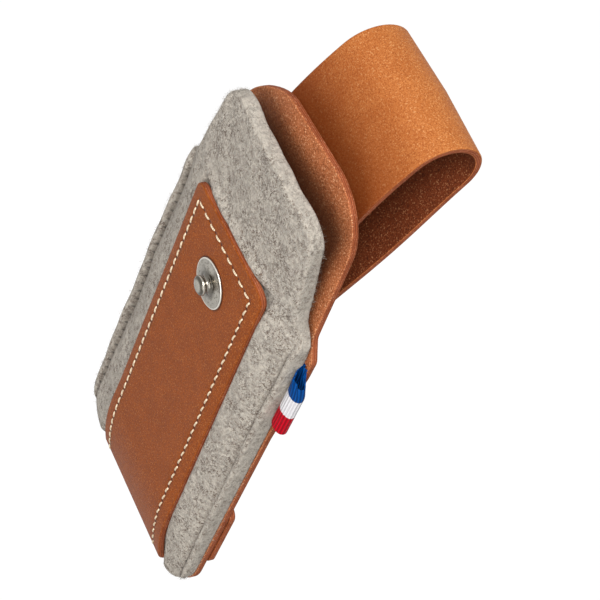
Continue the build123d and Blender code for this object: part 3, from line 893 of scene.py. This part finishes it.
def make_front_strap():
    """The front strap with its cross bar on the back, and its cream stitches."""
    corners = [(HALF_STRAP, 0), (HALF_STRAP, BAR_START), (HALF_BAR, BAR_START + 0.8),
               (HALF_BAR, front_length)]
    rim = half_outline(corners, [4.5, 0.8, 2.5, 2.5], 0.5)
    obj = slab("front_strap_cover", rim, even(45), LEATHER, LEATHER_ROUNDING, front_shape,
               front_leather)
    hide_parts("front_strap")
    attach(obj, "pouch")
    marks = np.arange(STRAP_FIRST, STRAP_TOP, PITCH)
    rows = [sewn_row(front_shape, -STRAP_ROW, marks, 0.16),
            sewn_row(front_shape, STRAP_ROW, marks, -0.16),
            sewn_row(front_shape, np.linspace(-STRAP_ROW, STRAP_ROW, 10), STRAP_FIRST, 0.14),
            sewn_row(front_shape, np.linspace(-26.5, 26.5, 17), front_length - BAR_ROW)]
    sewn = stitches("front_stitches", rows)
    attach(sewn, "pouch")


def make_back_panel():
    """The leather back with its tab, and the side seams' stitches on its outer face."""
    rim = half_outline(PANEL_CORNERS, PANEL_RADII, 0.8)
    obj = slab("back_panel_cover", rim, even(45), LEATHER, LEATHER_ROUNDING, panel_shape,
               panel_leather)
    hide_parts("back_panel")
    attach(obj, "pouch")

    def outer(x, length, depth):
        """The panel counted from its back face, where these stitches lie."""
        return panel_shape(x, length, LEATHER - depth)

    marks = np.arange(36.5, 103.0, PITCH)
    rows = [sewn_row(outer, x, marks, 0.14) for x in (-BACK_ROW, BACK_ROW)]
    sewn = stitches("side_seam_stitches", rows)
    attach(sewn, "pouch")


def make_closing_strap():
    """The closing strap from its sewn end round the belt loop, and the stitches of that end."""
    rim = half_outline([(HALF_STRAP, 0), (HALF_STRAP, loop_length)], [3, 6], 0.7)
    obj = slab("closing_strap_cover", rim, even(37), LEATHER, LEATHER_ROUNDING, loop_shape,
               loop_leather)
    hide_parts("closing_strap", "strap_root")
    hinge = on_panel(ROOT_TOP, LEATHER)
    tuple(placed(0, hinge[0], hinge[1] - 2))
    tuple(placed(0, hinge[0] + 4, hinge[1] + 8))
    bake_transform(obj)
    up, across = np.linspace(*ROOT_ROWS, 6), np.linspace(-STRAP_ROW, STRAP_ROW, 10)
    rows = [sewn_row(loop_shape, x, up, 0.14) for x in (-STRAP_ROW, STRAP_ROW)]
    rows += [sewn_row(loop_shape, across, at, 0.14) for at in ROOT_ROWS]
    sewn = stitches("strap_end_stitches", rows)
    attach(sewn, "pouch")


def make_stud():
    """The press-stud: a thin bright-rimmed flange with a dull dished face, and a trumpet post with
    a domed head, each turned from one profile."""
    flange = [(0, 0), (6.0, 0.0), (6.15, 0.1), (6.15, 0.28), (6.02, 0.40), (5.8, 0.40), (5.5, 0.34),
              (5.0, 0.38), (4.2, 0.50), (3.5, 0.62), (3.1, 0.72), (2.6, 0.74), (2.4, 0.66),
              (0, 0.66)]
    post = [(0, 0.3), (3.0, 0.3), (2.7, 0.74), (2.3, 0.88), (2.0, 1.1), (1.80, 1.4), (1.72, 1.75),
            (1.80, 2.0), (2.12, 2.15), (2.36, 2.28), (2.45, 2.45), (2.45, 2.6), (2.38, 2.8),
            (2.22, 3.0), (1.98, 3.17), (1.65, 3.31), (1.25, 3.42), (0.8, 3.49), (0.4, 3.52),
            (0, 3.52)]
    plate = lathe("stud_flange", flange, dull_nickel)
    head = lathe("stud_head", post, nickel)
    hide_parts("snap_stud")
    for piece in (plate, head):
        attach(piece, "pouch")


def make_ribbon():
    """The striped ribbon, folded into an open loop and sewn into the side seam."""
    rim = half_outline([(10, 0), (10, ribbon_length)], [0.25, 0.25], 0.25)
    obj = slab("ribbon_cover", rim, even(41), RIBBON, RIBBON_ROUNDING, ribbon_shape, grosgrain)
    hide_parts("ribbon_tag", "ribbon_root")
    y, z = on_panel(RIBBON_HEIGHT, -0.5)
    tuple(placed(28.6, y, z))
    tuple(placed(30.4, y, z))
    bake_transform(obj)


# ---------------------------------------------------------------- studio
def bright_rays(s):
    """1 for the rays from the eye, in reflections and through glass; 0 for the rest."""
    seen = s.node("ShaderNodeLightPath").outputs
    return s.most(seen["Is Camera Ray"], s.most(seen["Is Glossy Ray"], seen["Is Transmission Ray"]))


def make_floor(half=8.0, height=-1.6, pale=0.9, glow_share=0.9, glow_strength=1.08):
    """A white floor far below the hanging sheath, that still takes its shadow."""
    made, s, shader, _ = material("white_floor")
    s.fill(shader, {"Base Color": (pale, pale, pale, 1), "Roughness": 0.9})
    glow = s.node("ShaderNodeEmission", {"Color": (1, 1, 1, 1), "Strength": glow_strength})
    share = s.times(bright_rays(s), glow_share)
    mixed = s.node("ShaderNodeMixShader", {0: share, 1: shader.outputs[0], 2: glow.outputs[0]})
    s.put(s.nodes["Material Output"].inputs["Surface"], mixed.outputs[0])
    corners = np.array([(x, y, height) for x, y in ((-half, -half), (half, -half), (half, half),
                                                    (-half, half))])
    floor = mesh_piece("floor", corners, np.array([[0, 1, 2, 3]]), made, smooth=False,
                       outward=False)


def make_world(dome_strength=0.48):
    """White to the eye and in reflections, a soft grey dome for the rest of the light."""
    world = bpy.data.worlds.new("studio")
    world.use_nodes = True
    s = Sketch(world.node_tree)
    inputs = {"Value": bright_rays(s), "To Min": dome_strength, "To Max": 1.0}
    dome = s.node("ShaderNodeMapRange", inputs)
    s.fill(s.nodes["Background"], {"Strength": dome.outputs[0], "Color": (1, 1, 1, 1)})
    bpy.context.scene.world = world


def soft_light(name, place, aim, size, power):
    """A square area lamp at a place, turned to shine on a point."""
    data = bpy.data.lights.new(name, "AREA")
    data.size, data.energy = size, power
    lamp = bpy.data.objects.new(name, data)
    turned = (Vector(place) - Vector(aim)).to_track_quat("Z", "Y").to_matrix().to_4x4()
    lamp.matrix_world = Matrix.Translation(Vector(place)) @ turned
    bpy.context.scene.collection.objects.link(lamp)


def upright(right, axis):
    """The part of a direction that is square to the axis, as a unit vector."""
    right = right - right @ axis * axis
    return right / np.linalg.norm(right)


def make_camera(distance=700.0, zoom=4.39, picture=600.0, aside=90.0, above=16.7):
    """The photograph's view: the eye is so far from the stud's foot, which lies aside and above the
    picture's middle by so many pixels; the axes are turned so that the lens points at the
    picture's middle."""
    toward = np.array([0.4658, -0.4111, 0.7836])
    toward /= np.linalg.norm(toward)
    right = upright(np.array([0.3840, 0.8917, 0.2395]), toward)
    focal = distance * zoom
    axis = focal * toward - aside * right + above * np.cross(toward, right)
    axis /= np.linalg.norm(axis)
    right = upright(right, axis)
    camera = bpy.data.cameras.new("camera")
    camera.sensor_width = 36.0
    camera.lens = camera.sensor_width * focal / picture
    camera.clip_start, camera.clip_end = 0.01, 20.0
    obj = bpy.data.objects.new("camera", camera)
    matrix = np.eye(4)
    matrix[:3, 0], matrix[:3, 1], matrix[:3, 2] = right, np.cross(axis, right), axis
    matrix[:3, 3] = placed(*(np.array([0.0, 0.0, STUD_HEIGHT]) + distance * toward))
    obj.matrix_world = Matrix(matrix.tolist())
    bpy.context.scene.collection.objects.link(obj)
    bpy.context.scene.camera = obj


make_camera()
make_felt()
for body, count, low, high, seed in (("pouch", 7600, 0.0, 115.5, 11),
                                     ("felt_lip", 3400, 117.5, 142.0, 12)):
    hairs = make_fuzz(f"felt_hairs_{body}", count, low, high, seed)
    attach(hairs, body)
make_front_strap()
make_back_panel()
make_closing_strap()
make_stud()
make_ribbon()
for node in ("stud_eyelet", "snap_socket", "socket_spring", "snap_cap"):
    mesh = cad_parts[node].data
    mesh.materials.clear()
    mesh.materials.append(nickel)
make_floor()
make_world()
soft_light("key", (0.30, -0.30, 0.80), (0, 0, -0.05), 0.45, 9.5)
soft_light("fill", (0.42, -0.66, 0.05), (0, 0, -0.08), 0.6, 3.35)
bpy.context.scene.view_settings.view_transform = "Standard"
